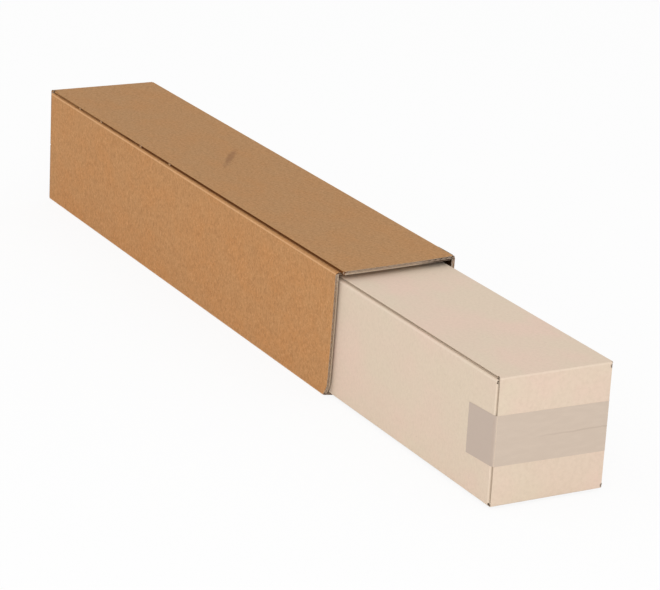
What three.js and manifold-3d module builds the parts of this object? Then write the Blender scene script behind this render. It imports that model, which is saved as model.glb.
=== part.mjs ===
// Square telescoping mailing tube: two folded corrugated board halves, one sliding in the other.
// Millimetres, +Z up. The tube lies along X, with the closed end of the outer half towards -X.
// The origin is on the floor, under the middle of the tube as it is pulled out in the photo.

import * as THREE from 'three';
import { mergeVertices } from 'three/addons/utils/BufferGeometryUtils.js';
import Module from 'manifold-3d';

const wasm = await Module();
wasm.setup();

// Board and folds
const boardThickness = 2.4;
const foldInnerRadius = 0.8;
const arcSteps = 3;

// Outer half. Its mouth is cut a little out of square: the free corner of the top panel leads a
// square cut, and the bottom left corner lags behind it.
const outerWidth = 133;
const outerLength = 700;
const mouthTopLead = 7;
const mouthBottomLag = 6;

// Inner half, which slides in the outer half and lies on its bottom panel
const slidingClearance = 3.3;
const restingGap = 0.1;
const innerLength = 700;
const pulledOut = 286;

// Glued seam along the top left edge of each half
const glueTabWidth = 32;
const glueTabInset = 12;
const glueTabTaper = 14;
const seamSetback = 2.6;
const seamUngluedWidth = 4;
const seamGap = 0.3;

// Closing flaps: the side pair folds in first, then the top and bottom pair over it
const flapSlotWidth = 6;
const flapSlotOvercut = 0.8;
const flapLayerGap = 0.3;
const flapMeetingGap = 1.2;

// Packing tape over the meeting line of the closing flaps of the inner half
const tapeWidth = 48;
const tapeThickness = 0.25;
const tapeGlueThickness = 0.1;
const tapeWrap = 46;
const tapeRise = 0.8;

// Sizes worked out from the ones above
const foldOuterRadius = foldInnerRadius + boardThickness;
const innerWidth = outerWidth - 2 * boardThickness - 2 * slidingClearance;
const tapeStandOff = tapeGlueThickness + tapeThickness;
const overallLength = outerLength + pulledOut + tapeStandOff;
const minorFlapDepth = boardThickness + flapLayerGap;
const slotRootDepth = minorFlapDepth + foldOuterRadius + flapSlotOvercut;

// Axis orders for a shape drawn in one plane and extruded along the third axis
const drawnInYZ = new THREE.Matrix4().set(0, 0, 1, 0, 1, 0, 0, 0, 0, 1, 0, 0, 0, 0, 0, 1);
const drawnInXY = new THREE.Matrix4();

function extrudeBetween(shape, from, to, placing) {
  const geometry = new THREE.ExtrudeGeometry(shape, {
    depth: to - from,
    bevelEnabled: false,
    curveSegments: arcSteps,
  });
  geometry.translate(0, 0, from);
  geometry.applyMatrix4(placing);
  return placing.determinant() < 0 ? turnedOver(geometry) : geometry;
}

// Swaps two corners of every triangle, for a shape that was mirrored
function turnedOver(geometry) {
  const position = geometry.attributes.position;
  const first = new THREE.Vector3();
  const second = new THREE.Vector3();
  for (let corner = 0; corner < position.count; corner += 3) {
    first.fromBufferAttribute(position, corner);
    second.fromBufferAttribute(position, corner + 1);
    position.setXYZ(corner, second.x, second.y, second.z);
    position.setXYZ(corner + 1, first.x, first.y, first.z);
  }
  return geometry;
}

// A three.js geometry as a solid that can be joined and cut
function toSolid(geometry) {
  const bare = geometry.clone();
  bare.deleteAttribute('normal');
  bare.deleteAttribute('uv');
  const merged = mergeVertices(bare, 1e-5);
  return new wasm.Manifold(new wasm.Mesh({
    numProp: 3,
    vertProperties: new Float32Array(merged.attributes.position.array),
    triVerts: new Uint32Array(merged.index.array),
  }));
}

// A finished solid as a flat shaded three.js geometry
function toGeometry(solid) {
  const mesh = solid.getMesh();
  const shared = new THREE.BufferGeometry();
  shared.setAttribute('position', new THREE.BufferAttribute(mesh.vertProperties, 3));
  shared.setIndex(new THREE.BufferAttribute(mesh.triVerts, 1));
  const flat = shared.toNonIndexed();
  flat.computeVertexNormals();
  return flat;
}

// Section across one half in the YZ plane: four panels and three folds, and at the top left the
// glue tab, folded in from the left panel under the free edge of the top panel
function wallSection(width) {
  const half = width / 2;
  const outside = foldOuterRadius;
  const inside = foldInnerRadius;
  const underTop = width - boardThickness;
  const tabTop = underTop - seamGap;
  const gluedFrom = -half + outside + seamUngluedWidth;

  const section = new THREE.Shape();
  section.moveTo(-half + seamSetback, width);
  section.lineTo(-half + seamSetback, underTop);
  section.lineTo(gluedFrom, underTop);
  section.lineTo(gluedFrom, tabTop);
  section.lineTo(-half + outside, tabTop);
  section.absarc(-half + outside, tabTop - outside, outside, Math.PI / 2, Math.PI, false);
  section.lineTo(-half, outside);
  section.absarc(-half + outside, outside, outside, Math.PI, 1.5 * Math.PI, false);
  section.lineTo(half - outside, 0);
  section.absarc(half - outside, outside, outside, -Math.PI / 2, 0, false);
  section.lineTo(half, width - outside);
  section.absarc(half - outside, width - outside, outside, 0, Math.PI / 2, false);
  section.closePath();

  const hollow = new THREE.Path();
  hollow.moveTo(-half + glueTabWidth, underTop);
  hollow.lineTo(half - outside, underTop);
  hollow.absarc(half - outside, width - outside, inside, Math.PI / 2, 0, true);
  hollow.lineTo(half - boardThickness, outside);
  hollow.absarc(half - outside, outside, inside, 0, -Math.PI / 2, true);
  hollow.lineTo(-half + outside, boardThickness);
  hollow.absarc(-half + outside, outside, inside, 1.5 * Math.PI, Math.PI, true);
  hollow.lineTo(-half + boardThickness, tabTop - outside);
  hollow.absarc(-half + outside, tabTop - outside, inside, Math.PI, Math.PI / 2, true);
  hollow.lineTo(-half + glueTabWidth, tabTop - boardThickness);
  hollow.closePath();
  section.holes.push(hollow);
  return section;
}

// Moves the open end of a wall out of square: the top panel's free corner by topLead outwards,
// the bottom left corner by bottomLag inwards, and the right side not at all
function skewMouth(wall, width, length, topLead, bottomLag) {
  const position = wall.attributes.position;
  const corner = new THREE.Vector3();
  for (let index = 0; index < position.count; index += 1) {
    corner.fromBufferAttribute(position, index);
    if (corner.x > length / 2) {
      const towardsLeft = (width / 2 - corner.y) / width;
      const inTopPanel = corner.z > width - boardThickness - seamGap / 2;
      const lead = inTopPanel ? topLead : -bottomLag * (1 - corner.z / width);
      position.setX(index, length + lead * towardsLeft);
    }
  }
  return wall;
}

// What is cut off the glue tab at one end, seen from above: square up to `cutBack` and then
// tapered. `inward` is the way along X from that end to the middle, `overrun` how far past the
// end the cut starts.
function tabTrim(width, end, cutBack, inward, overrun) {
  const foldSide = -width / 2 + foldOuterRadius;
  const freeSide = -width / 2 + glueTabWidth + boardThickness;
  const outsideEnd = end - inward * overrun;
  const trim = new THREE.Shape();
  trim.moveTo(outsideEnd, foldSide);
  trim.lineTo(end + inward * cutBack, foldSide);
  trim.lineTo(end + inward * (cutBack + glueTabTaper), freeSide);
  trim.lineTo(outsideEnd, freeSide);
  trim.closePath();
  const underTop = width - boardThickness;
  return extrudeBetween(trim, underTop - 2 * boardThickness, underTop, drawnInXY);
}

// A panel running into its closing flap, seen along the fold. The shape's x is the distance in
// from the panel's outer face, its y the distance in from the closed end of the tube.
function flapHook(flapDepth, reach) {
  const outside = foldOuterRadius;
  const inside = foldInnerRadius;
  const foldCentre = flapDepth + outside;
  const root = slotRootDepth + boardThickness;
  const hook = new THREE.Shape();
  hook.moveTo(0, root);
  hook.lineTo(0, foldCentre);
  hook.absarc(outside, foldCentre, outside, Math.PI, 1.5 * Math.PI, false);
  hook.lineTo(reach, flapDepth);
  hook.lineTo(reach, flapDepth + boardThickness);
  hook.lineTo(outside, flapDepth + boardThickness);
  hook.absarc(outside, foldCentre, inside, 1.5 * Math.PI, Math.PI, true);
  hook.lineTo(boardThickness, root);
  hook.closePath();
  return hook;
}

// Flap on the top panel (inward -1, outerFace = width) or the bottom one (inward 1, outerFace = 0)
function majorFlap(width, outerFace, inward) {
  const placing = new THREE.Matrix4();
  placing.set(0, 1, 0, 0, 0, 0, 1, 0, inward, 0, 0, outerFace, 0, 0, 0, 1);
  const reach = (width - flapMeetingGap) / 2;
  const edge = (width - flapSlotWidth) / 2;
  return toSolid(extrudeBetween(flapHook(0, reach), -edge, edge, placing));
}

// Flap on the left panel (inward 1, outerFace = -width / 2) or the right one (inward -1)
function minorFlap(width, outerFace, inward) {
  const placing = new THREE.Matrix4();
  placing.set(0, 1, 0, 0, inward, 0, 0, outerFace, 0, 0, 1, 0, 0, 0, 0, 1);
  const reach = (width - flapMeetingGap) / 2;
  const edge = flapSlotWidth / 2;
  return toSolid(extrudeBetween(flapHook(minorFlapDepth, reach), edge, width - edge, placing));
}

// One half of the tube, folded from one sheet, closed at x = 0 and open at x = length
function foldedHalf(width, length, topLead, bottomLag) {
  const wall = extrudeBetween(wallSection(width), slotRootDepth, length, drawnInYZ);
  const board = boardThickness;
  return toSolid(skewMouth(wall, width, length, topLead, bottomLag))
    .subtract(toSolid(tabTrim(width, slotRootDepth, glueTabInset, 1, board)))
    .subtract(toSolid(tabTrim(width, length, 0, -1, topLead + board)))
    .add(majorFlap(width, width, -1))
    .add(majorFlap(width, 0, 1))
    .add(minorFlap(width, -width / 2, 1))
    .add(minorFlap(width, width / 2, -1));
}

// Tape over the closed end, seen from above: flat over the top and bottom flaps, drawn tight off
// their side edges on to the rounded folds of the side panels, and flat along those panels
function tapeStrip(width) {
  const flapEdge = (width - flapSlotWidth) / 2;
  const foldCentreX = minorFlapDepth + foldOuterRadius;
  const foldCentreY = width / 2 - foldOuterRadius;
  const under = tapeGlueThickness;
  const over = tapeStandOff;
  const square = Math.PI / 2;
  const toCentre = Math.atan2(foldCentreY - flapEdge, foldCentreX);
  const toTangent = Math.asin(foldOuterRadius / Math.hypot(foldCentreX, foldCentreY - flapEdge));
  const touch = square + toCentre + toTangent;

  const strip = new THREE.Shape();
  strip.moveTo(-over, -flapEdge);
  strip.lineTo(-over, flapEdge);
  strip.absarc(foldCentreX, foldCentreY, foldOuterRadius + over, touch, square, true);
  strip.lineTo(tapeWrap, width / 2 + over);
  strip.lineTo(tapeWrap, width / 2 + under);
  strip.absarc(foldCentreX, foldCentreY, foldOuterRadius + under, square, touch, false);
  strip.lineTo(-under, flapEdge);
  strip.lineTo(-under, -flapEdge);
  strip.absarc(foldCentreX, -foldCentreY, foldOuterRadius + under, -touch, -square, false);
  strip.lineTo(tapeWrap, -width / 2 - under);
  strip.lineTo(tapeWrap, -width / 2 - over);
  strip.absarc(foldCentreX, -foldCentreY, foldOuterRadius + over, -square, -touch, true);
  strip.closePath();
  const middle = width / 2 + tapeRise;
  return toSolid(extrudeBetween(strip, middle - tapeWidth / 2, middle + tapeWidth / 2, drawnInXY));
}

// Names a piece and sets its closed end at closedEndX, facing -X as made or mirrored to face +X
function placedPiece(name, solid, look, closedEndX, facesPlusX, floorHeight) {
  const geometry = toGeometry(solid);
  if (facesPlusX) {
    geometry.scale(-1, 1, 1);
    turnedOver(geometry);
    geometry.computeVertexNormals();
  }
  const mesh = new THREE.Mesh(geometry, new THREE.MeshStandardMaterial(look));
  mesh.name = name;
  mesh.position.set(closedEndX, 0, floorHeight);
  return mesh;
}

const kraftBoard = { color: 0xbc9162, roughness: 0.85, metalness: 0 };
const paleBoard = { color: 0xd8c4ae, roughness: 0.85, metalness: 0 };
const packingTape = { color: 0xd0bda6, roughness: 0.35, metalness: 0 };

const outerEndX = -overallLength / 2;
const innerEndX = overallLength / 2 - tapeStandOff;
const innerFloor = boardThickness + restingGap;

const outerBoard = foldedHalf(outerWidth, outerLength, mouthTopLead, mouthBottomLag);
const innerBoard = foldedHalf(innerWidth, innerLength, 0, 0);

const tube = new THREE.Group();
tube.add(
  placedPiece('outer_half', outerBoard, kraftBoard, outerEndX, false, 0),
  placedPiece('inner_half', innerBoard, paleBoard, innerEndX, true, innerFloor),
  placedPiece('inner_end_tape', tapeStrip(innerWidth), packingTape, innerEndX, true, innerFloor),
);

export default tube;
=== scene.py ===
import math

import bmesh
import bpy
from mathutils import Euler, Matrix, Vector, noise


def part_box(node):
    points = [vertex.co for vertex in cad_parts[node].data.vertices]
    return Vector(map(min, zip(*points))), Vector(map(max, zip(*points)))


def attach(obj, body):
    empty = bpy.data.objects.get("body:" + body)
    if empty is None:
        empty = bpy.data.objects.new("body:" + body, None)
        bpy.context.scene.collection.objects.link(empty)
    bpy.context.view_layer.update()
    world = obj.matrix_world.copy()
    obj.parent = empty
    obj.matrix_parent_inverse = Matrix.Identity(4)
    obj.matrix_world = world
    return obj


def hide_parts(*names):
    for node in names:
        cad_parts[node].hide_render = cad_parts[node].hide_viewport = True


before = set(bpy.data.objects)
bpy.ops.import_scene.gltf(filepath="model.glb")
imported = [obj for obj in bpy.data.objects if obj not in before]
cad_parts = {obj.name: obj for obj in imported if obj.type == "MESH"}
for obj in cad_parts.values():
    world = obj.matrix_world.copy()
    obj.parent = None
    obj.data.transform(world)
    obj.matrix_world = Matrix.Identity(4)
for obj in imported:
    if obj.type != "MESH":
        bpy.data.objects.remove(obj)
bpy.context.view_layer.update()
outerLow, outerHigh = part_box("outer_half")
innerLow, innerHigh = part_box("inner_half")
tapeLow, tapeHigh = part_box("inner_end_tape")
print("frame loaded")


# Corrugated board, common to both halves (metres)
board = dict(
    thickness=0.0024,
    paper=0.00045,           # one paper layer: outer liner, fluted layer or inner liner
    foldRadius=0.0024,       # outside of a fold
    foldSegments=6,
    foldHighlightLine=0.0009,         # breadth of the painted highlight along the fold at the seam
    faintFoldHighlight=0.6,           # how strong the painted highlight on the other folds is beside it
    flutePitch=0.0065,
    fluteStart=0.0006,
    fluteRounding=0.0011,
    fluteSegments=3,
    tabWidth=0.032,
    tabInset=0.012,          # the tab stops this far from both ends
    tabRoot=0.0075,          # but its strip beside the fold runs on to the ends
    tabTaper=0.0129,
    flapLayer=0.0027,        # how far the side flaps lie behind the top and bottom ones
    flapMeetingGap=0.0012,
    flapFluteGap=0.001,
    flapLeft=0.0012,         # from the side of the tube to the left edge of the top and bottom flaps
    flapRight=0.0028,
    slotRoot=0.0067,         # where the slots between the flaps end
    cornerReach=0.0034,      # how far the corner folds run on between the flaps
    creaseRadius=0.0017,     # outside of the folds between the panels and their flaps
    leastRadius=0.0004,
    mouthFlutes=0.03,        # how deep the flutes are modelled at the mouth
    mouthRow=0.002,          # faces this near the mouth belong to its cut edge
    openDepth=0.004,         # over this length the layers stand open at the cut edge of the mouth
    opening=0.6,             # the board is this share thicker there
    closedFlutes=0.0010,     # the cut has pressed the flutes shut this far behind the edge
    seamFlutes=0.0135,       # how far in from the seam they are modelled along the whole tube
    seamEdge=0.0015,         # strip beside the seam whose cut edge is darker
    seamPull=0.04,           # breadth of the top panel over which the seam's taper fades out
    wearFade=0.03,           # length over which the wear at the mouth's corner fades out
    wearSquash=0.35,         # the worn corner is longer across than upwards
    dishScale=(5, 3),        # how fast the sag changes along the tube and upwards
    dishMean=0.6,
    dishSpread=0.5,
    stiffEnd=0.12,           # the flaps hold the panels flat over this length
    lengthCuts=44,
    panelCuts=13,
    shortEdge=0.002,
    parallel=0.999,
    flat=0.995,              # a face is no fold when its normal is this nearly along an axis
    nickNormal=0.98,
    sharpAngle=32,
    tiny=1e-5,
    near=1e-4,
)

outerHalf = dict(
    name="outer_half_board",
    node="outer_half",
    body="outer",
    slot="kraft_board",
    width=outerHigh.y - outerLow.y,
    length=0.7,
    closedEnd=outerLow.x,
    direction=1,             # from the closed end to the mouth along X
    floor=outerLow.z,
    topLead=0.007,           # the mouth is cut out of square
    bottomLag=0.006,
    seamSetback=0.0048,      # from the side of the tube to the free edge of the top panel, at the mouth
    seamTaper=0.0033,        # this much less at the closed end
    seamGap=0.0006,          # between the top panel and the tab under it
    dish=0.0007,             # how far the panels sag inwards
    cornerWear=0.008,        # bottom left corner of the mouth, worn away
    cornerSize=0.015,
    nicks=(0.081, 0.139, 0.244, 0.317),      # uncut spots along the seam, from the closed end
    nickLength=0.0035,
    seed=3.0,
)

innerHalf = dict(
    name="inner_half_board",
    node="inner_half",
    body="inner",
    slot="pale_board",
    width=innerHigh.y - innerLow.y,
    length=innerHigh.x - innerLow.x,
    closedEnd=innerHigh.x,
    direction=-1,
    floor=innerLow.z,
    topLead=0.0,
    bottomLag=0.0,
    seamSetback=0.0026,
    seamTaper=0.0,
    seamGap=0.0002,
    dish=0.0005,
    cornerWear=0.0,
    cornerSize=0.015,
    nicks=(0.31, 0.55),
    nickLength=0.004,
    seed=11.0,
)


def chainOf(bm, points):
    verts = [bm.verts.new(p) for p in points]
    return [bm.edges.new(pair) for pair in zip(verts, verts[1:])]


def extrudeEdges(bm, edges, offset):
    made = bmesh.ops.extrude_edge_only(bm, edges=edges)["geom"]
    verts = [g for g in made if isinstance(g, bmesh.types.BMVert)]
    bmesh.ops.translate(bm, verts=verts, vec=offset)
    starts = set(verts)
    return [g for g in made if isinstance(g, bmesh.types.BMEdge) and set(g.verts) <= starts]


def roundEdges(bm, edges, radius, segments):
    bmesh.ops.bevel(bm, geom=edges, offset=radius, offset_type="OFFSET", segments=segments,
                    profile=0.5, affect="EDGES", material=-1, clamp_overlap=False)


def runsAlong(edge, axis, atLeast):
    span = edge.verts[1].co - edge.verts[0].co
    return abs(span[axis]) > board["parallel"] * span.length and span.length > atLeast


def addSheet(bm, half, depth, facing):
    # one liner: four panels and the glue tab, then the four closing flaps
    width, length = half["width"], half["length"]
    side = width / 2
    radius = board["foldRadius"] - depth
    tabTop = width - board["thickness"] - half["seamGap"] - depth
    start = board["slotRoot"]
    section = [
        (-side + half["seamSetback"], width - depth),
        (side - depth, width - depth),
        (side - depth, depth),
        (-side + depth, depth),
        (-side + depth, tabTop),
        (-side + board["tabWidth"], tabTop),
    ]
    chain = chainOf(bm, [(start, y, z) for y, z in section])
    extrudeEdges(bm, chain, (length - start, 0, 0))
    folds = [e for e in bm.edges if runsAlong(e, 0, 0.1) and len(e.link_faces) == 2]
    roundEdges(bm, folds, radius, board["foldSegments"])
    trimTab(bm, side, tabTop, start, length)
    seamLine = (0, -side + half["seamSetback"] + board["seamEdge"], 0)
    topFaces = [f for f in bm.faces if f.calc_center_median().z > width - depth - board["near"]]
    cutAt(bm, topFaces, seamLine, (0, 1, 0))
    cutAt(bm, list(bm.faces), (length - board["openDepth"], 0, 0), (1, 0, 0))
    for z in (radius + depth + board["foldHighlightLine"], tabTop - radius - board["foldHighlightLine"]):
        cutAt(bm, list(bm.faces), (0, 0, z), (0, 0, 1))
    corners = [e for e in edgesAtEnd(bm, start) if e.calc_length() < board["shortEdge"]
               and any(abs(abs(v.co.y) - side) < board["foldRadius"] for v in e.verts)]
    extrudeEdges(bm, corners, (-board["cornerReach"], 0, 0))
    addFlaps(bm, width, depth, start)
    orientSheet(bm, facing)


def edgesAtEnd(bm, x):
    atEnd = [e for e in bm.edges if all(abs(v.co.x - x) < board["tiny"] for v in e.verts)]
    return [e for e in atEnd if e.is_boundary]


def addFlaps(bm, width, depth, start):
    side = width / 2
    flat = [e for e in edgesAtEnd(bm, start) if e.calc_length() > side]
    creases = []
    for edge in flat:
        middle = (edge.verts[0].co + edge.verts[1].co) / 2
        upright = abs(middle.y) > side - board["slotRoot"]
        if upright:
            inwards = Vector((0, -math.copysign(1, middle.y), 0))
        else:
            inwards = Vector((0, 0, -math.copysign(1, middle.z - side)))
        creaseX = depth + (board["flapLayer"] if upright else 0)
        crease = extrudeEdges(bm, [edge], (creaseX - start, 0, 0))
        if not upright:
            for vert in crease[0].verts:
                vert.co.y = side - board["flapRight"] if vert.co.y > 0 else board["flapLeft"] - side
        reach = (width - board["flapMeetingGap"]) / 2 - depth
        extrudeEdges(bm, crease, inwards * reach)
        creases += crease
    roundEdges(bm, creases, max(board["creaseRadius"] - depth, board["leastRadius"]), board["foldSegments"])


def orientSheet(bm, facing):
    bmesh.ops.recalc_face_normals(bm, faces=bm.faces)
    bottom = min(bm.faces, key=lambda f: f.calc_center_median().z)
    if bottom.normal.z * facing > 0:
        bmesh.ops.reverse_faces(bm, faces=bm.faces)


def cutAt(bm, faces, point, direction):
    edges = dict.fromkeys(e for f in faces for e in f.edges)      # each once, in a fixed order
    verts = dict.fromkeys(v for f in faces for v in f.verts)
    parts = faces + list(edges) + list(verts)
    bmesh.ops.bisect_plane(bm, geom=parts, plane_co=point, plane_no=direction)


def trimTab(bm, side, tabTop, start, length):
    # the tab stops short of both ends of the tube, with its corners cut off
    def isTab(face):
        centre = face.calc_center_median()
        onTab = abs(centre.z - tabTop) < board["tiny"]
        return onTab and board["tabRoot"] < centre.y + side < board["tabWidth"]
    root = [f for f in bm.faces if abs(f.calc_center_median().z - tabTop) < board["tiny"]]
    cutAt(bm, root, (0, board["tabRoot"] - side, 0), (0, 1, 0))
    for cut in (start + board["tabInset"], length - board["tabInset"]):
        cutAt(bm, [f for f in bm.faces if isTab(f)], (cut, 0, 0), (1, 0, 0))
    ends = [f for f in bm.faces if isTab(f) and
            not start + board["tabInset"] < f.calc_center_median().x < length - board["tabInset"]]
    bmesh.ops.delete(bm, geom=ends, context="FACES")
    for vert in bm.verts:
        freeSide = abs(vert.co.y + side - board["tabWidth"]) < board["tiny"]
        if freeSide and abs(vert.co.z - tabTop) < board["tiny"]:
            vert.co.x += math.copysign(board["tabTaper"], length / 2 - vert.co.x)


def divideSheet(bm):
    bmesh.ops.subdivide_edges(bm, edges=[e for e in bm.edges if runsAlong(e, 0, 0.3)],
                              cuts=board["lengthCuts"], use_grid_fill=True)
    for axis in (1, 2):
        edges = [e for e in bm.edges if runsAlong(e, axis, 0.05)]
        bmesh.ops.subdivide_edges(bm, edges=edges, cuts=board["panelCuts"], use_grid_fill=True)


def addFlutes(bm, corner, across, breadth, along, normal):
    # a zigzag of paper between the liners, rounded like the real flutes
    across, normal = Vector(across), Vector(normal)
    height = (board["thickness"] - 3 * board["paper"]) / 2
    base = Vector(corner) + normal * (board["thickness"] / 2 - board["paper"] / 2)
    step = board["flutePitch"] / 2
    count = int(breadth / step)
    points = [base + across * (k * step + board["fluteStart"]) + normal * height * (-1) ** k
              for k in range(count + 1)]
    before = set(bm.edges)
    extrudeEdges(bm, chainOf(bm, points), Vector(along))
    ridges = [e for e in bm.edges if e not in before and len(e.link_faces) == 2]
    roundEdges(bm, ridges, board["fluteRounding"], board["fluteSegments"])


def addAllFlutes(bm, half):
    width, length = half["width"], half["length"]
    side, fold, thick = width / 2, board["foldRadius"], board["thickness"]
    span = width - 2 * fold
    deep = board["mouthFlutes"]
    mouth = [
        ((length, -side + half["seamSetback"], width), (0, 1, 0), span, (0, 0, -1)),
        ((length, -side + fold, 0), (0, 1, 0), span, (0, 0, 1)),
        ((length, -side, fold), (0, 0, 1), span - thick, (0, 1, 0)),
        ((length, side, fold), (0, 0, 1), span, (0, -1, 0)),
    ]
    for corner, across, breadth, normal in mouth:
        addFlutes(bm, corner, across, breadth, (-deep, 0, 0), normal)
        inner = Vector(normal) * board["paper"] - Vector((board["closedFlutes"], 0, 0))
        low = Vector(corner) + inner
        wall = chainOf(bm, [low, low + Vector(across) * breadth])
        extrudeEdges(bm, wall, Vector(normal) * (thick - 2 * board["paper"]))
    seam = (length - deep, -side + half["seamSetback"], width)
    backwards = (board["slotRoot"] + deep - length, 0, 0)
    addFlutes(bm, seam, (0, 1, 0), board["seamFlutes"], backwards, (0, 0, -1))
    drop = side - fold - board["flapFluteGap"]
    for y in (-1, 1):        # both side edges of the top and bottom flaps
        edge = side - board["flapRight"] if y > 0 else board["flapLeft"] - side
        for z, along in ((width - fold, -drop), (fold, drop)):
            addFlutes(bm, (0, edge, z), (0, -y, 0), board["seamFlutes"], (0, 0, along), (1, 0, 0))
    for nick in half["nicks"]:
        low = chainOf(bm, [(x, -side + half["seamSetback"], width - thick)
                           for x in (nick, nick + half["nickLength"])])
        extrudeEdges(bm, low, (0, 0, thick - board["paper"]))
    cutAt(bm, list(bm.faces), (length - board["openDepth"], 0, 0), (1, 0, 0))


def isFold(face):
    return max(abs(c) for c in face.normal) < board["flat"]


def opened(depth):
    # how much further in a layer at this depth stands where the cut edge is open
    if depth > board["foldRadius"] + board["near"]:
        return 0.0
    return board["opening"] * min(depth, board["thickness"])


def foldHighlightShare(vert, half):
    # share of the painted highlight: 1 on the line along the fold at the seam, less on the other folds,
    # none elsewhere
    width = half["width"]
    x, y, z = vert.co
    rounds = [isFold(f) for f in vert.link_faces if f.material_index % 4 < 2]      # liner faces only
    turn = board["foldRadius"] - width + board["thickness"] + half["seamGap"] + z
    atSeam = y < board["foldRadius"] - width / 2 and z > width / 2
    if atSeam and x > board["slotRoot"] - board["tiny"]:
        onLine = 1 - abs(turn - board["foldHighlightLine"]) / board["foldHighlightLine"]
        return max(0.0, onLine) * max(rounds, default=0)
    return board["faintFoldHighlight"] * min(rounds, default=0)


def settleHalf(bm, half):
    # out of square mouth, panels dished a little, edges not quite straight
    width, length = half["width"], half["length"]
    side = width / 2
    across = bm.verts.layers.float.new("across")
    fold = bm.verts.layers.float.new("fold")
    scaleX, scaleZ = board["dishScale"]
    for vert in bm.verts:
        x, y, z = vert.co
        # the fold attribute carries the share of the painted highlight
        vert[fold] = foldHighlightShare(vert, half)
        if x > length - board["closedFlutes"]:
            vert.co.y -= math.copysign(opened(side - abs(y)), y)
            vert.co.z -= opened(width - z)
        onTop = z > width - board["thickness"] - half["seamGap"] / 2
        upright = abs(y) > side - board["foldRadius"] and x > board["slotRoot"]
        vert[across] = z if upright else y
        toLeft = (side - y) / width
        lead = half["topLead"] if onTop else -half["bottomLag"] * (1 - z / width)
        share = max(0.0, x / length)
        vert.co.x += lead * toLeft * share
        if onTop and x > board["slotRoot"]:
            pull = max(0.0, 1 - (y + side - half["seamSetback"]) / board["seamPull"])
            vert.co.y -= half["seamTaper"] * (1 - share) * min(1.0, pull)
        fromCorner = math.hypot(board["wearSquash"] * (y + side), z) / half["cornerSize"]
        nearMouth = max(0.0, 1 - (length - x) / board["wearFade"])
        vert.co.x -= half["cornerWear"] * nearMouth * max(0.0, 1 - fromCorner) ** 2
        wander = noise.noise(Vector((x * scaleX, half["seed"], z * scaleZ)))
        free = min(1.0, x / board["stiffEnd"]) if x > 0 else 0.0
        amount = half["dish"] * (wander * board["dishSpread"] + board["dishMean"]) * free
        bellyZ = 1 - min(1.0, (2 * z / width - 1) ** 2)
        bellyY = 1 - min(1.0, (y / side) ** 2)
        vert.co.y -= amount * bellyZ * y / side
        vert.co.z -= amount * bellyY * (z - side) / side


def addObject(name, bm):
    mesh = bpy.data.meshes.new(name)
    bm.to_mesh(mesh)
    bm.free()
    made = bpy.data.objects.new(name, mesh)
    bpy.context.scene.collection.objects.link(made)
    return made


def finishPiece(bm, info, materials, thickness):
    piece = addObject(info["name"], bm)
    mesh = piece.data
    for material in materials:
        mesh.materials.append(material)
    mesh.set_sharp_from_angle(angle=math.radians(board["sharpAngle"]))
    for polygon in mesh.polygons:
        polygon.use_smooth = True
    wall = piece.modifiers.new("Solidify", "SOLIDIFY")
    wall.thickness = thickness
    wall.offset = -1
    wall.use_even_offset = True
    wall.material_offset_rim = 1
    shading = piece.modifiers.new("WeightedNormal", "WEIGHTED_NORMAL")      # keeps flat panels flat
    shading.keep_sharp = True
    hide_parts(info["node"])
    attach(piece, info["body"])
    print("built", info["name"], len(mesh.polygons), "faces")


# Material numbers on a half, rims one higher than their paper
paper = dict(
    liner=0,
    inside=2,
    core=3,
    paintedShadeRim=4,               # added to a paper's number where its cut edge carries painted shade
    # seam: the seam material with its painted shade
    seam=7,
)


def paperOf(face, depth, half):
    # depth 0 is the outer liner, the board's thickness the inner one, and none the fluted layer
    centre = face.calc_center_median()
    breadth = board["seamEdge"] if depth is not None else board["seamEdge"] + board["flutePitch"] / 2
    onTop = centre.z > half["width"] - board["thickness"] - board["tiny"]
    bySeam = onTop and centre.y < half["seamSetback"] - half["width"] / 2 + breadth
    if depth is None:
        if bySeam and abs(face.normal.y) > board["nickNormal"]:
            return paper["liner"]            # uncut spots
        if centre.x > half["length"] - board["mouthRow"]:
            return paper["core"]             # flutes pressed shut at the mouth
        return paper["seam"] if bySeam else paper["inside"]
    if depth and bySeam:
        return paper["seam"]
    plain = paper["inside"] if depth else paper["liner"]
    # folds and the seam side get the painted shade of the seam material on their cut edges
    shadedEdge = isFold(face) or (bySeam and centre.x > board["slotRoot"])
    return plain + paper["paintedShadeRim"] if shadedEdge else plain


def buildHalf(half, materials):
    whole = bmesh.new()
    for depth, facing in ((0, 1), (board["thickness"], -1), (None, 1)):
        part = bmesh.new()
        if depth is None:
            addAllFlutes(part, half)
        else:
            addSheet(part, half, depth, facing)
            divideSheet(part)
        for face in part.faces:
            face.material_index = paperOf(face, depth, half)
        loose = bpy.data.meshes.new("layer")
        part.to_mesh(loose)
        part.free()
        whole.from_mesh(loose)
        bpy.data.meshes.remove(loose)
    settleHalf(whole, half)
    place = Matrix.Translation((half["closedEnd"], 0, half["floor"]))
    place = place @ Matrix.Diagonal((half["direction"], 1, 1, 1))
    bmesh.ops.transform(whole, matrix=place, verts=whole.verts)
    if half["direction"] < 0:
        bmesh.ops.reverse_faces(whole, faces=whole.faces)
    finishPiece(whole, half, materials, board["paper"])


# Packing tape over the end of the inner half
tape = dict(
    name="end_tape",
    node="inner_end_tape",
    body="inner",
    slot="packing_tape",
    film=0.00005,
    standOff=0.0001,
    notches=(0.0011, 0.0027),    # from the side of the tube to the side edge of the flaps, left and right
    bendsIn=(0.00416, 0.00385),  # where the film meets the side panels' planes
    bendRadius=0.0008,
    bendSegments=5,
    leftDrop=0.0024,             # how the strip climbs along its run, cut end to bend
    rightDrop=0.0020,
    rise=0.0010,
    cutBack=0.0015,
    cutReach=0.012,              # the ragged cut fades out over this length
    ragged=0.0004,
    raggedScale=(90, 90, 300),
    wrinkle=0.00004,
    wrinkleScale=(20, 20, 260),
    crossCuts=11,
    longCuts=30,
)


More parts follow.
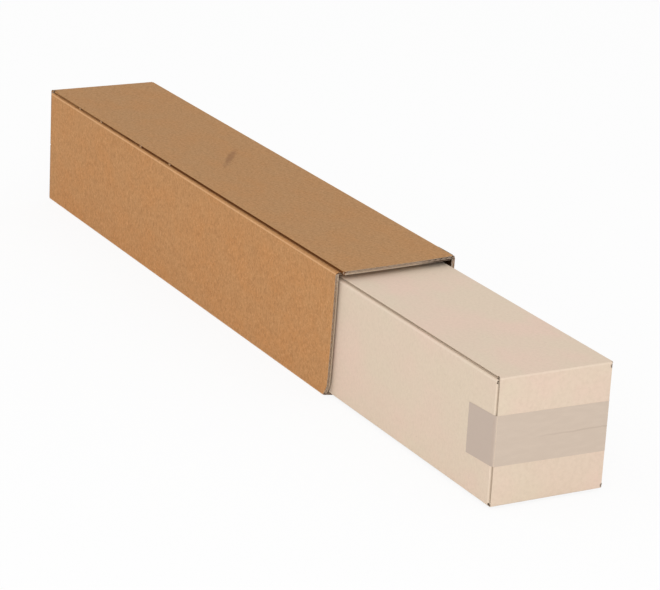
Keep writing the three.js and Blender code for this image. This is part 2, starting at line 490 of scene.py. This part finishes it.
def buildTape(info, materials):
    half = innerHalf["width"] / 2
    off = info["standOff"]
    end = innerHigh.x
    wrapX = tapeLow.x
    route = [
        (wrapX, -half - off),
        (end - info["bendsIn"][0], -half - off),
        (end + off, -half + info["notches"][0]),
        (end + off, half - info["notches"][1]),
        (end - info["bendsIn"][1], half + off),
        (wrapX, half + off),
    ]
    bm = bmesh.new()
    strip = chainOf(bm, [(x, y, tapeLow.z) for x, y in route])
    extrudeEdges(bm, strip, (0, 0, tapeHigh.z - tapeLow.z))
    bends = [e for e in bm.edges if runsAlong(e, 2, 0.01) and len(e.link_faces) == 2]
    roundEdges(bm, bends, info["bendRadius"], info["bendSegments"])
    for axis, atLeast, cuts in ((2, 0.01, "crossCuts"), (0, 0.02, "longCuts"), (1, 0.05, "longCuts")):
        edges = [e for e in bm.edges if runsAlong(e, axis, atLeast)]
        bmesh.ops.subdivide_edges(bm, edges=edges, cuts=info[cuts], use_grid_fill=True)
    bmesh.ops.recalc_face_normals(bm, faces=bm.faces)
    front = max(bm.faces, key=lambda f: f.calc_center_median().x)
    if front.normal.x < 0:
        bmesh.ops.reverse_faces(bm, faces=bm.faces)
    for vert in bm.verts:
        x, y, z = vert.co
        along = 1 - max(0.0, (end - x) / (end - wrapX))
        drop = info["leftDrop"] if y < 0 else info["rightDrop"]
        vert.co.z += info["rise"] * (-y / half) - drop * (1 - along)
        ragged = noise.noise(Vector((x, y, z)) * Vector(info["raggedScale"])) * info["ragged"]
        vert.co.x += (info["cutBack"] + ragged) * max(0.0, 1 - (x - wrapX) / info["cutReach"])
        wrinkle = noise.noise(Vector((x, y, z)) * Vector(info["wrinkleScale"])) * info["wrinkle"]
        vert.co += vert.normal * wrinkle
    finishPiece(bm, info, materials, info["film"])


def addNode(tree, kind, inputs=None, **settings):
    node = tree.nodes.new(kind)
    for key, value in settings.items():
        setattr(node, key, value)
    for key, value in (inputs or {}).items():
        if isinstance(value, bpy.types.NodeSocket):
            tree.links.new(value, node.inputs[key])
        else:
            node.inputs[key].default_value = value
    return node


def startMaterial(name, roughness, specular):
    material = bpy.data.materials.new(name)
    material.use_nodes = True
    tree = material.node_tree
    shader = tree.nodes["Principled BSDF"]
    shader.inputs["Roughness"].default_value = roughness
    shader.inputs["Specular IOR Level"].default_value = specular
    place = addNode(tree, "ShaderNodeTexCoord").outputs["Object"]
    return material, tree, shader, place


def stretched(tree, place, scale, turn=(0, 0, 0)):
    inputs = {"Vector": place, "Scale": scale, "Rotation": turn}
    return addNode(tree, "ShaderNodeMapping", inputs).outputs["Vector"]


def mapped(tree, value, low, high, toLow=0.0, toHigh=1.0):
    return addNode(tree, "ShaderNodeMapRange", {
        "Value": value, "From Min": low, "From Max": high,
        "To Min": toLow, "To Max": toHigh}).outputs["Result"]


def noiseValue(tree, place, scale, detail, low, high, toLow=0.0, toHigh=1.0):
    raw = addNode(tree, "ShaderNodeTexNoise", {"Vector": place, "Scale": scale, "Detail": detail})
    return mapped(tree, raw.outputs["Fac"], low, high, toLow, toHigh)


def mathValue(tree, operation, first, second=0.0):
    return addNode(tree, "ShaderNodeMath", {0: first, 1: second}, operation=operation).outputs[0]


def attributeValue(tree, name):
    return addNode(tree, "ShaderNodeAttribute", attribute_name=name).outputs["Fac"]


def blend(tree, amount, first, second, mode="MIX"):
    node = addNode(tree, "ShaderNodeMix", data_type="RGBA", blend_type=mode)
    for index, value in ((0, amount), (6, first), (7, second)):
        if isinstance(value, bpy.types.NodeSocket):
            tree.links.new(value, node.inputs[index])
        else:
            node.inputs[index].default_value = value
    return node.outputs[2]


# painted shade: the colour turns towards a dark one near a point
def shadeNear(tree, place, colour, shade):
    away = addNode(tree, "ShaderNodeVectorMath", {0: place, 1: shade["centre"]}, operation="DISTANCE")
    near = mapped(tree, away.outputs["Value"], shade["core"], shade["reach"], shade["strength"], 0.0)
    return blend(tree, near, colour, linear(*shade["colour"]))


def addBump(tree, shader, strength, distance, height):
    bump = addNode(tree, "ShaderNodeBump", {"Strength": strength, "Distance": distance, "Height": height})
    tree.links.new(bump.outputs["Normal"], shader.inputs["Normal"])


def linear(red, green, blue):
    # an sRGB colour, 0 to 255, as Blender's linear one
    def one(value):
        share = value / 255
        return share / 12.92 if share <= 0.04045 else ((share + 0.055) / 1.055) ** 2.4
    return (one(red), one(green), one(blue), 1)


kraftLook = dict(
    name="kraft liner",
    base=(190, 138, 88),
    warm=(192, 137, 85),
    cool=(187, 139, 91),
    fibre=(148, 102, 60),
    pale=(220, 170, 118),
    # colour of the painted highlight along the folds
    fold=(226, 180, 134),
    paintedTopShade=(240, 247, 255),     # painted shade: the top panel is a little darker and greyer than the sides
    topShadeFrom=0.1300,
    cloudScale=22,
    grainScale=400,
    fibreScale=1000,
    clouds=1.0,
    cooling=0.6,
    grain=0.40,
    fibres=0.40,
    flecks=0.30,
    foldHighlightStrength=0.8,
    roughness=0.82,
    specular=0.22,
    bump=0.16,
)

paleLook = dict(
    name="pale liner",
    base=(220, 199, 179),
    warm=(224, 198, 180),
    cool=(217, 202, 179),
    fibre=(198, 177, 155),
    pale=(230, 211, 191),
    # colour of the painted highlight along the folds
    fold=(238, 222, 202),
    paintedTopShade=(255, 255, 255),
    topShadeFrom=0.2,
    cloudScale=13,
    grainScale=380,
    fibreScale=1000,
    clouds=1.0,
    cooling=0.6,
    grain=0.20,
    fibres=0.16,
    flecks=0.15,
    foldHighlightStrength=0.35,
    roughness=0.78,
    specular=0.25,
    bump=0.06,
)

# The papers' patterns, one over the other, with the look's own colour, scale and strength
linerLayers = (
    dict(colour="warm", strength="clouds", scale="cloudScale", detail=3, band=(0.38, 0.62)),
    dict(colour="cool", strength="cooling", scale="cloudScale", times=1.7, detail=2, band=(0.40, 0.62),
         stretch=(0.6, 1, 1), turn=(0.4, 0.3, 0.2)),
    dict(colour="fibre", strength="grain", scale="grainScale", detail=4, band=(0.42, 0.66),
         stretch=(1, 0.7, 0.7)),             # the fibres run across the tube
    dict(colour="pale", strength="grain", scale="grainScale", times=1.7, detail=3, band=(0.50, 0.72),
         stretch=(1, 0.7, 0.7)),
    dict(colour="fibre", strength="fibres", scale="fibreScale", detail=2, band=(0.60, 0.70),
         stretch=(0.35, 1, 1), turn=(0.5, 0.2, 0.9)),
    dict(colour="fibre", dim=0.6, strength="flecks", scale="fibreScale", times=0.8, detail=1,
         band=(0.74, 0.80)),
)

linerRelief = dict(
    topEdge=0.001,
    washboard=0.25,              # the flutes show faintly through the liner
    roughDetail=4,
    roughness=1.2,
    distance=0.0004,
)

paintedNotchShade = [dict(             # painted shade where the notches between the flaps are, on the right
    centre=(innerHigh.x - 0.0008, innerHigh.y - 0.0021, height),
    core=0.0018,
    reach=0.0030,
    strength=0.85,
    colour=(84, 66, 52),
) for height in (innerHigh.z - 0.0036, innerLow.z + 0.0030)]

markLook = dict(                 # dark smudge on the top panel of the outer half
    centre=(-0.172, 0.0094, 0.133),
    size=(0.042, 0.0056, 0.004),
    turn=math.radians(-36),
    colour=(126, 86, 56),
    raggedScale=260,
    ragged=0.18,
    core=0.4,
    strength=0.5,
)


def addMark(tree, place, colour, mark):
    frameOf = {"Vector": place, "Location": mark["centre"], "Rotation": (0, 0, mark["turn"]),
               "Scale": mark["size"]}
    local = addNode(tree, "ShaderNodeMapping", frameOf, vector_type="TEXTURE").outputs["Vector"]
    away = addNode(tree, "ShaderNodeVectorMath", {0: local}, operation="LENGTH").outputs["Value"]
    patchy = noiseValue(tree, place, mark["raggedScale"], 3, 0.3, 0.7, -mark["ragged"], mark["ragged"])
    edge = mathValue(tree, "ADD", away, patchy)
    inside = mapped(tree, edge, mark["core"], 1.0, mark["strength"], 0.0)
    return blend(tree, inside, colour, linear(*mark["colour"]))


def linerMaterial(look, shades=(), mark=None):
    material, tree, shader, place = startMaterial(look["name"], look["roughness"], look["specular"])
    colour = linear(*look["base"])
    for layer in linerLayers:
        at = stretched(tree, place, layer.get("stretch", (1, 1, 1)), layer.get("turn", (0, 0, 0)))
        scale = look[layer["scale"]] * layer.get("times", 1)
        amount = noiseValue(tree, at, scale, layer["detail"], *layer["band"], 0, look[layer["strength"]])
        shade = [part * layer.get("dim", 1) for part in look[layer["colour"]]]
        colour = blend(tree, amount, colour, linear(*shade))
    upwards = addNode(tree, "ShaderNodeSeparateXYZ", {"Vector": place}).outputs["Z"]
    # painted shade: the top panel's colour is multiplied darker and greyer
    onTop = mapped(tree, upwards, look["topShadeFrom"], look["topShadeFrom"] + linerRelief["topEdge"])
    colour = blend(tree, onTop, colour, linear(*look["paintedTopShade"]), "MULTIPLY")
    # painted highlight along the folds, from the fold attribute
    foldHighlightAmount = mathValue(tree, "MULTIPLY", attributeValue(tree, "fold"), look["foldHighlightStrength"])
    colour = blend(tree, foldHighlightAmount, colour, linear(*look["fold"]))
    for shade in shades:
        colour = shadeNear(tree, place, colour, shade)
    if mark:
        colour = addMark(tree, place, colour, mark)
    tree.links.new(colour, shader.inputs["Base Color"])

    turns = mathValue(tree, "MULTIPLY", attributeValue(tree, "across"), 2 * math.pi / board["flutePitch"])
    waves = mathValue(tree, "MULTIPLY", mathValue(tree, "SINE", turns), linerRelief["washboard"])
    rough = noiseValue(tree, place, look["grainScale"], linerRelief["roughDetail"], 0, 1,
                       0, linerRelief["roughness"])
    addBump(tree, shader, look["bump"], linerRelief["distance"], mathValue(tree, "ADD", waves, rough))
    return material


def cutEdgeMaterial(name, base, dark):
    material, tree, shader, place = startMaterial(name, 0.9, 0.1)
    fuzz = noiseValue(tree, place, 900, 3, 0.35, 0.7)
    colour = blend(tree, mathValue(tree, "MULTIPLY", fuzz, 0.6), linear(*base), linear(*dark))
    tree.links.new(colour, shader.inputs["Base Color"])
    addBump(tree, shader, 0.3, 0.0003, fuzz)
    return material


seamShadeFade = dict(             # the seam's cut edge, its dark part painted shade of the gap and open flutes; it darkens from the closed end on
    length=0.3,
    patchScale=60,
    patches=0.12,
)


# painted shade on the seam's cut edge, over the kraft colour of the edge
def seamShadeMaterial(name, nearMouth, farEnd):
    material, tree, shader, place = startMaterial(name, 0.92, 0.05)
    along = addNode(tree, "ShaderNodeSeparateXYZ", {"Vector": place}).outputs["X"]
    patchy = noiseValue(tree, place, seamShadeFade["patchScale"], 3, 0.3, 0.7,
                        -seamShadeFade["patches"], seamShadeFade["patches"])
    uneven = mathValue(tree, "ADD", along, patchy)
    toMouth = mapped(tree, uneven, outerLow.x, outerLow.x + seamShadeFade["length"])
    colour = blend(tree, toMouth, linear(*farEnd), linear(*nearMouth))
    tree.links.new(colour, shader.inputs["Base Color"])
    return material


paintedCornerShade = dict(          # painted shade in the dark inner corner at the top right of the mouth
    centre=(outerHigh.x, outerHigh.y, outerHigh.z),
    core=0.022,
    reach=0.045,
    strength=1.0,
    colour=(58, 34, 16),
)


def insideMaterial(name, base, dark, shades=()):
    material, tree, shader, place = startMaterial(name, 0.88, 0.15)
    cloud = noiseValue(tree, place, 30, 3, 0.35, 0.65, 0, 0.3)
    grain = noiseValue(tree, place, 500, 3, 0.45, 0.7, 0, 0.4)
    colour = blend(tree, cloud, linear(*base), linear(*dark))
    colour = blend(tree, grain, colour, linear(*dark))
    for shade in shades:
        colour = shadeNear(tree, place, colour, shade)
    tree.links.new(colour, shader.inputs["Base Color"])
    return material


tapeLook = dict(
    base=(199, 181, 164),
    # side: the film on the side panels, painted darker as shade
    side=(186, 167, 152),
    cloudy=(205, 187, 170),
    bubbles=0.5,
    bubbleScale=110,
    sideEdge=(0.002, 0.0004),        # from the end, where the film bends on to the side panels
    # seam: painted shade of the gap between the flaps, seen through the film
    seam=(176, 157, 140),
    seamHeight=innerLow.z + (innerHigh.z - innerLow.z) / 2,
    seamStrength=0.45,
    seamWidth=(0.0003, 0.0011),
    seamWave=0.0016,
    seamFrom=(-0.03, 0.02),          # the meeting line shows more towards the right
    roughness=0.34,
    specular=0.45,
    wrinkleScale=160,
    bump=0.25,
)


def tapeMaterial(look):
    material, tree, shader, place = startMaterial("packing tape", look["roughness"], look["specular"])
    parts = addNode(tree, "ShaderNodeSeparateXYZ", {"Vector": place})
    bubbled = stretched(tree, place, (1, 0.5, 2.2))
    bubbles = noiseValue(tree, bubbled, look["bubbleScale"], 3, 0.42, 0.66, 0, look["bubbles"])
    colour = blend(tree, bubbles, linear(*look["base"]), linear(*look["cloudy"]))
    fromX, toX = (innerHigh.x - part for part in look["sideEdge"])
    # painted shade: the film on the side panels is darker than on the end
    sideShade = mapped(tree, parts.outputs["X"], fromX, toX, 1.0, 0.0)
    colour = blend(tree, sideShade, colour, linear(*look["side"]))
    # painted shade along the meeting line of the flaps under the film
    level = stretched(tree, place, (1, 1, 0))
    wavy = noiseValue(tree, level, 60, 2, 0, 1, -look["seamWave"], look["seamWave"])
    height = mathValue(tree, "ADD", parts.outputs["Z"], wavy)
    away = mathValue(tree, "ABSOLUTE", mathValue(tree, "SUBTRACT", height, look["seamHeight"]))
    line = mapped(tree, away, *look["seamWidth"], look["seamStrength"], 0.0)
    onEnd = mapped(tree, parts.outputs["Y"], *look["seamFrom"])
    colour = blend(tree, mathValue(tree, "MULTIPLY", line, onEnd), colour, linear(*look["seam"]))
    tree.links.new(colour, shader.inputs["Base Color"])
    wrinkles = noiseValue(tree, stretched(tree, place, (1, 0.35, 3.0)), look["wrinkleScale"], 3, 0, 1)
    addBump(tree, shader, look["bump"], 0.0004, wrinkles)
    return material


kraftCut = cutEdgeMaterial("kraft cut edge", (214, 194, 172), (176, 156, 136))
kraftCore = cutEdgeMaterial("kraft edge core", (190, 172, 154), (156, 139, 122))
paleCut = cutEdgeMaterial("pale cut edge", (226, 208, 188), (204, 184, 162))
kraftInside = insideMaterial("kraft inside", (204, 184, 160), (180, 154, 126), [paintedCornerShade])
paleInside = insideMaterial("pale inside", (212, 193, 171), (190, 170, 148))
kraftSeam = seamShadeMaterial("kraft seam edge", (130, 84, 46), (180, 134, 88))
paleSeam = seamShadeMaterial("pale seam edge", (206, 187, 166), (206, 187, 166))
kraftLiner = linerMaterial(kraftLook, mark=markLook)
paleLiner = linerMaterial(paleLook, paintedNotchShade)
tapeSkin = tapeMaterial(tapeLook)

buildHalf(outerHalf, [kraftLiner, kraftCut, kraftInside, kraftCore,
                      kraftLiner, kraftSeam, kraftInside, kraftSeam])
buildHalf(innerHalf, [paleLiner, paleCut, paleInside, paleCut,
                      paleLiner, paleSeam, paleInside, paleSeam])
buildTape(tape, [tapeSkin, tapeSkin])


# Stage, light and camera
studio = dict(
    floorSize=40.0,
    floorDrop=0.0001,
    floorColour=(246, 246, 246),
    whiteShare=0.88,         # how much of what the camera sees of the floor is plain white
    worldStrength=0.82,
    keyEnergy=64.0,
    keySize=2.2,
    keyPlace=(3.75, -2.05, 2.25),
    fillEnergy=6.0,
    fillSize=2.4,
    fillPlace=(-1.6, -2.6, 1.6),
    lampTarget=(0.1, 0, 0.05),
)

photoCamera = dict(
    place=(2.26620, -1.23820, 0.92251),
    azimuth=60.466,
    elevation=18.980,
    roll=3.181,
    fieldOfView=14.356,      # degrees across the frame
    sensorWidth=36,
    clip=(0.05, 100),
)


def seenShare(tree, share):
    # the share for what the camera sees straight, in a gloss or through glass, and none for other light
    path = addNode(tree, "ShaderNodeLightPath")
    seen = mathValue(tree, "MAXIMUM", path.outputs["Is Camera Ray"], path.outputs["Is Glossy Ray"])
    seen = mathValue(tree, "MAXIMUM", seen, path.outputs["Is Transmission Ray"])
    return mathValue(tree, "MULTIPLY", seen, share)


def addFloor():
    bm = bmesh.new()
    bmesh.ops.create_grid(bm, x_segments=1, y_segments=1, size=studio["floorSize"] / 2)
    bmesh.ops.translate(bm, verts=bm.verts, vec=(0, 0, -studio["floorDrop"]))
    floor = addObject("floor", bm)
    material = bpy.data.materials.new("pale floor")
    material.use_nodes = True
    tree = material.node_tree
    tree.nodes.remove(tree.nodes["Principled BSDF"])
    matt = addNode(tree, "ShaderNodeBsdfDiffuse", {"Color": linear(*studio["floorColour"])})
    white = addNode(tree, "ShaderNodeEmission", {"Color": (1, 1, 1, 1), "Strength": 1.0})
    seen = seenShare(tree, studio["whiteShare"])
    both = addNode(tree, "ShaderNodeMixShader", {0: seen, 1: matt.outputs[0], 2: white.outputs[0]})
    tree.links.new(both.outputs[0], tree.nodes["Material Output"].inputs["Surface"])
    floor.data.materials.append(material)


def addWorld():
    world = bpy.data.worlds.new("studio")
    world.use_nodes = True
    tree = world.node_tree
    plain = tree.nodes["Background"]
    plain.inputs["Color"].default_value = (1, 1, 1, 1)
    plain.inputs["Strength"].default_value = studio["worldStrength"]
    white = addNode(tree, "ShaderNodeBackground", {"Color": (1, 1, 1, 1), "Strength": 1.0})
    seen = seenShare(tree, 1.0)
    both = addNode(tree, "ShaderNodeMixShader", {0: seen, 1: plain.outputs[0], 2: white.outputs[0]})
    tree.links.new(both.outputs[0], tree.nodes["World Output"].inputs["Surface"])
    bpy.context.scene.world = world


def addLamp(name):
    place = Vector(studio[name + "Place"])
    light = bpy.data.lights.new(name, "AREA")
    light.energy = studio[name + "Energy"]
    light.size = studio[name + "Size"]
    lamp = bpy.data.objects.new(name, light)
    lamp.location = place
    lamp.rotation_euler = (Vector(studio["lampTarget"]) - place).to_track_quat("-Z", "Y").to_euler()
    bpy.context.scene.collection.objects.link(lamp)


def addCamera():
    camera = bpy.data.cameras.new("camera")
    camera.sensor_fit = "HORIZONTAL"
    camera.sensor_width = photoCamera["sensorWidth"]
    halfView = math.radians(photoCamera["fieldOfView"] / 2)
    camera.lens = photoCamera["sensorWidth"] / 2 / math.tan(halfView)
    camera.clip_start, camera.clip_end = photoCamera["clip"]
    holder = bpy.data.objects.new("camera", camera)
    azimuth, elevation = math.radians(photoCamera["azimuth"]), math.radians(photoCamera["elevation"])
    level = Euler((math.pi / 2 - elevation, 0, azimuth)).to_matrix()
    roll = Matrix.Rotation(math.radians(photoCamera["roll"]), 3, "Z")
    holder.matrix_world = Matrix.Translation(photoCamera["place"]) @ (level @ roll).to_4x4()
    bpy.context.scene.collection.objects.link(holder)
    bpy.context.scene.camera = holder


addFloor()
addWorld()
addLamp("key")
addLamp("fill")
addCamera()
bpy.context.scene.view_settings.view_transform = "Standard"
print("stage ready")
